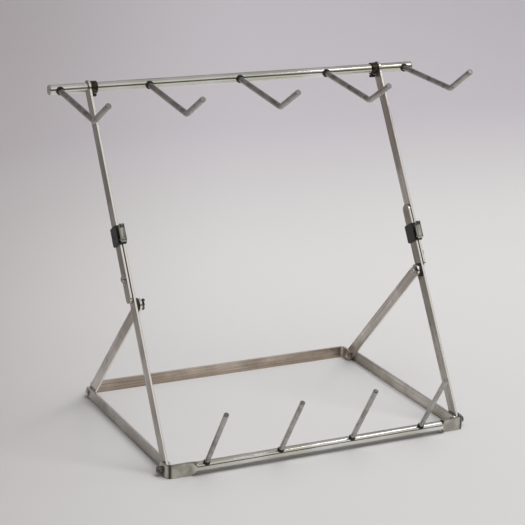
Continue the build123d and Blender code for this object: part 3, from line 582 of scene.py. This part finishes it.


# cross-sections carried along a path that runs across the rack and turns back at both corners
# each is a superellipse: a circle in the middle, and tall, thin and square-cornered where it is pressed
# the tab's end is round, so the height there falls as a half circle does
# the flare is pinched in at mid-height; the marks give how far each point is pressed and how much painted shade
# its creases get
def frontTubeGrid(size):
    low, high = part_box("front_tube")
    bend, flare, radius = size["bend"], size["flare"], size["radius"]
    axisY = low.y + radius
    straight = high.x - size["flatThickness"] / 2 - bend
    corner = bend * math.pi / 2
    total = straight + corner + high.y - axisY - bend
    endRadius = size["flatHeight"] / 2
    flatRow = min(size["flatStarts"]) - flare
    roundRows, flatRows, bendRows, tabRows, endRows = size["rows"]
    half = np.concatenate([np.linspace(0, flatRow, roundRows), np.linspace(flatRow, straight, flatRows)[1:],
                           np.linspace(straight, straight + corner, bendRows)[1:],
                           np.linspace(straight + corner, total - endRadius, tabRows)[1:],
                           total - endRadius + endRadius * np.sin(np.linspace(0, math.pi / 2, endRows)[1:])])
    walk = np.concatenate([-half[::-1], half[1:]])
    side, distance = np.sign(walk), np.abs(walk)
    turned = np.clip((distance - straight) / bend, 0, math.pi / 2)
    beyond = np.clip(distance - straight - corner, 0, None)
    x = side * (np.minimum(distance, straight) + bend * np.sin(turned))
    y = axisY + bend * (1 - np.cos(turned)) + beyond

    fromFlat = distance - np.where(side < 0, *size["flatStarts"])
    flat = smoothStep(fromFlat / flare + 1)
    intoEnd = np.clip(distance - total + endRadius, 0, None) / endRadius
    rounding = np.sqrt(np.clip(1 - intoEnd ** 2, 0.0004, 1))
    depth = radius + flat * (size["flatThickness"] / 2 - radius)
    rise = (radius + flat * (endRadius - radius)) * rounding
    middle = size["axisHeight"] + flat * (endRadius - size["axisHeight"])
    power = 2 / (2 + flat * (size["squareness"] - 2))
    angle = np.linspace(0, 2 * math.pi, size["columns"], endpoint=False)
    out = depth[:, None] * signedPower(np.cos(angle)[None, :], power[:, None])
    up = rise[:, None] * signedPower(np.sin(angle)[None, :], power[:, None])
    pinch = bell(fromFlat / flare, -size["pinchPlace"], size["pinchWidth"])[:, None]
    out = out * (1 - size["pinchDepth"] * pinch * bell(up, 0, size["pinchHeight"] * radius))
    grid = np.stack([x[:, None] + out * (side * np.sin(turned))[:, None],
                     y[:, None] - out * np.cos(turned)[:, None], middle[:, None] + up], axis=-1)

    # painted shade in the creases: at the corner folds, and at the top and bottom of the neck before the flat,
    # darker on one side
    folded = bell(turned, size["foldPlace"], size["foldWidth"]) * (turned > 0)
    necked = bell(fromFlat / flare, -size["neckPlace"], size["neckWidth"])
    necked = necked * np.where(side < 0, *size["neckShade"])
    topOrBottom = smoothStep((np.abs(np.sin(angle)) - size["neckFrom"]) / size["neckOver"])
    creaseShade = np.maximum(folded[:, None] * np.ones(size["columns"]), necked[:, None] * topOrBottom[None, :])
    return grid, {"pressed": np.repeat(flat, size["columns"]), "creaseShade": creaseShade.reshape(-1)}


grid, marks = frontTubeGrid(frontTubeSize)
frontTube = newPiece("frontTubePressed", [grid], "front_tube", finishes["polished_tube"], smoothAngle=50)
for mark, share in marks.items():
    frontTube.data.attributes.new(mark, "FLOAT", "POINT").data.foreach_set("value", share)
print("front tube pressed")


# wing nut and thumb screws: a turned hub with two cast wings

# a profile of (distance along the axis, radius) pairs, turned round the axis
def turnedGrid(centre, axis, profile, columns=40):
    profile = np.array(profile)
    axis = Vector(axis)
    first = np.array(axis.orthogonal().normalized())
    second = np.cross(np.array(axis), first)
    angle = np.linspace(0, 2 * math.pi, columns, endpoint=False)
    ring = np.cos(angle)[:, None] * first + np.sin(angle)[:, None] * second
    along, radius = profile[:, 0, None, None], profile[:, 1, None, None]
    return np.array(centre) + along * np.array(axis) + radius * ring[None]


wingForm = {"rows": 22, "columns": 22, "squareness": 0.75, "rootWidth": 0.62, "widenBy": 1.4,
            "closeFrom": 0.72, "rootThickness": 1.15, "thinning": 0.25, "closeThickness": 1.4}
wingPoints = ("root", "bend", "tip")


# a flat blade along a curved line from root to tip: (1 - t) squared of the root, 2 t (1 - t) of the bend,
# t squared of the tip; oval across, wider towards the tip, and closing round it as a quarter circle does
def wingGrid(root, bend, tip, flatWay, width, thickness):
    form = wingForm
    root, bend, tip, flatWay = (np.array(value, float) for value in (root, bend, tip, flatWay))
    t = np.sin(np.linspace(0, math.pi / 2, form["rows"]))[:, None]
    line = (1 - t) ** 2 * root + 2 * t * (1 - t) * bend + t ** 2 * tip
    run = 2 * (1 - t) * (bend - root) + 2 * t * (tip - bend)
    run /= np.linalg.norm(run, axis=1, keepdims=True)
    across = np.cross(run, flatWay)
    intoTip = np.clip((t - form["closeFrom"]) / (1 - form["closeFrom"]), 0, 1)
    close = np.sqrt(np.clip(1 - intoTip ** 2, 0.002, 1))
    widening = form["rootWidth"] + (1 - form["rootWidth"]) * smoothStep(t * form["widenBy"])
    wide = width / 2 * widening * close
    thick = thickness / 2 * (form["rootThickness"] - form["thinning"] * t)
    thick = thick * np.clip(close * form["closeThickness"], 0, 1)
    angle = np.linspace(0, 2 * math.pi, form["columns"], endpoint=False)[None, :, None]
    return (line[:, None] + across[:, None] * wide[:, :, None] * signedPower(np.cos(angle), form["squareness"])
            + flatWay * thick[:, :, None] * signedPower(np.sin(angle), form["squareness"]))


# the hub's pairs are distance from its seat and radius; the wing's are distance from the seat and from
# the axis
wingNutSize = {"hub": [(0, 0.003906), (0.0004, 0.0042), (0.0017, 0.00378), (0.0030, 0.0032),
                       (0.0034, 0.002816), (0.0034, 0.00205), (0.0022, 0.0020)],
               "root": (0.0018, 0.0022), "bend": (0.0018, 0.0046), "tip": (0.0036, 0.0064),
               "wingWidth": 0.0044, "wingThickness": 0.0019}


def wingNut(size):
    low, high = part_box("wing_nut")
    seat = np.array([low.x, (low.y + high.y) / 2, (low.z + high.z) / 2])
    away = np.array([1.0, 0.0, 0.0])
    grids = [turnedGrid(seat, away, size["hub"])]
    for way in (-1, 1):
        up = np.array([0.0, 0.0, way])
        root, bend, tip = (seat + out * away + aside * up for out, aside in map(size.get, wingPoints))
        grids.append(wingGrid(root, bend, tip, (0.0, 1.0, 0.0), size["wingWidth"], size["wingThickness"]))
    newPiece("wingNutCast", grids, "wing_nut", finishes["wing_nut"])


wingNut(wingNutSize)

# the hub's pairs are height above the screw's foot and radius; the wing's are out from the axis and up
# from the hub's middle
thumbScrewSize = {"hub": [(0.0014, 0.0020), (0.0018, 0.0025), (0.0040, 0.0025), (0.0044, 0.002125)],
                  "root": (0.0012, 0.0), "bend": (0.0026, 0.0002), "tip": (0.0042, -0.0010),
                  "wingWidth": 0.0038, "wingThickness": 0.0016, "shankFrom": 0.0039, "shank": 0.0015,
                  "thread": 0.00022, "pitch": 0.0006, "threadRows": 24, "threadColumns": 24}


# the shank's radius swells and shrinks once each pitch, as a thread's outline does
def thumbScrew(name, size):
    low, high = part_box(name)
    foot = np.array([(low.x + high.x) / 2, (low.y + high.y) / 2, low.z])
    up = np.array([0.0, 0.0, 1.0])
    climb = np.linspace(size["shankFrom"], high.z - low.z, size["threadRows"])
    swell = 0.5 + 0.5 * np.cos(2 * math.pi * climb / size["pitch"])
    shank = np.stack([climb, size["shank"] - size["thread"] * swell], axis=1)
    grids = [turnedGrid(foot, up, size["hub"]), turnedGrid(foot, up, shank, size["threadColumns"])]
    middle = foot + up * (size["hub"][0][0] + size["hub"][-1][0]) / 2
    for way in (-1, 1):
        root, bend, tip = (middle + (way * out, 0, rise) for out, rise in map(size.get, wingPoints))
        grids.append(wingGrid(root, bend, tip, (0.0, 1.0, 0.0), size["wingWidth"], size["wingThickness"]))
    newPiece(name + "Cast", grids, name, finishes["dark_steel"])


for sideName in ("left", "right"):
    thumbScrew("thumb_screw_" + sideName, thumbScrewSize)
print("wing nut and thumb screws cast")


# clamp levers: sheet folded into a channel, flared and rounded at its free end
# lengths are in metres; a "from" or "over" value is a share of the lever's length

leverSize = {"width": 0.0068, "sheet": 0.0008, "cheek": 0.0030, "foot": -0.0028, "end": 0.0186,
             "flare": 0.0011, "flareFrom": 0.72, "crown": 0.0004, "crownHalf": 0.5,
             "narrowing": 0.10, "narrowFrom": 0.75, "cheekLoss": 0.62, "cheekFrom": 0.3, "cheekOver": 0.6,
             "footCheek": 0.55, "footGrowth": 3.0, "footDip": 0.0022, "footOver": 0.10,
             "foldAt": 0.62, "cheekAt": 0.55, "cheekReach": 1.35, "cheekCurve": 1.2,
             "rows": 34, "columns": 41}


# a channel profile carried up the lever: two cheeks joined by a rounded front; q runs across the sheet
# from -1 to 1 and v up the lever from 0 to 1
# the cheeks get shallower towards the free end, where the front lifts and narrows; the foot dips
def clampLever(name, jointName, size):
    pin = np.array(joints[jointName]["pos_m"])
    up = np.array(joints["height_slide"]["axis"])
    out = np.cross(up, np.array([1.0, 0.0, 0.0]))
    out = out if out[1] < 0 else -out
    v = np.linspace(0, 1, size["rows"])[:, None]
    q = np.linspace(-1, 1, size["columns"])[None, :]
    climb = size["foot"] + v * (size["end"] - size["foot"])
    narrow = smoothStep((v - size["narrowFrom"]) / (1 - size["narrowFrom"]))
    halfWidth = (size["width"] - size["sheet"]) / 2 * (1 - size["narrowing"] * narrow)
    shallow = smoothStep((v - size["cheekFrom"]) / size["cheekOver"])
    cheek = size["cheek"] * (1 - size["cheekLoss"] * shallow)
    cheek = cheek * np.clip(size["footCheek"] + size["footGrowth"] * v, 0, 1)
    depth = np.clip((np.abs(q) - size["cheekAt"]) / (1 - size["cheekAt"]), 0, 1)
    across = np.sign(q) * halfWidth * np.sin(np.clip(np.abs(q) / size["foldAt"], 0, 1) * math.pi / 2)
    lift = (size["cheek"] + size["crown"] * (1 - np.clip(np.abs(q) / size["crownHalf"], 0, 1) ** 2)
            + size["flare"] * smoothStep((v - size["flareFrom"]) / (1 - size["flareFrom"]))
            - cheek * size["cheekReach"] * depth ** size["cheekCurve"]
            - size["footDip"] * (1 - np.clip(v / size["footOver"], 0, 1)) ** 2 * (1 - depth))
    grid = (pin + across[..., None] * np.array([1.0, 0.0, 0.0]) + (climb + 0 * q)[..., None] * up
            + lift[..., None] * out)
    lever = newPiece(name + "Folded", [grid], name, finishes["chrome_lever"], around=False, smoothAngle=60)
    thickness = lever.modifiers.new("sheet", "SOLIDIFY")
    thickness.thickness = size["sheet"]
    thickness.offset = 0.0


for sideName in ("left", "right"):
    clampLever("clamp_lever_" + sideName, "clamp_lever_" + sideName + "_open", leverSize)
print("clamp levers folded")
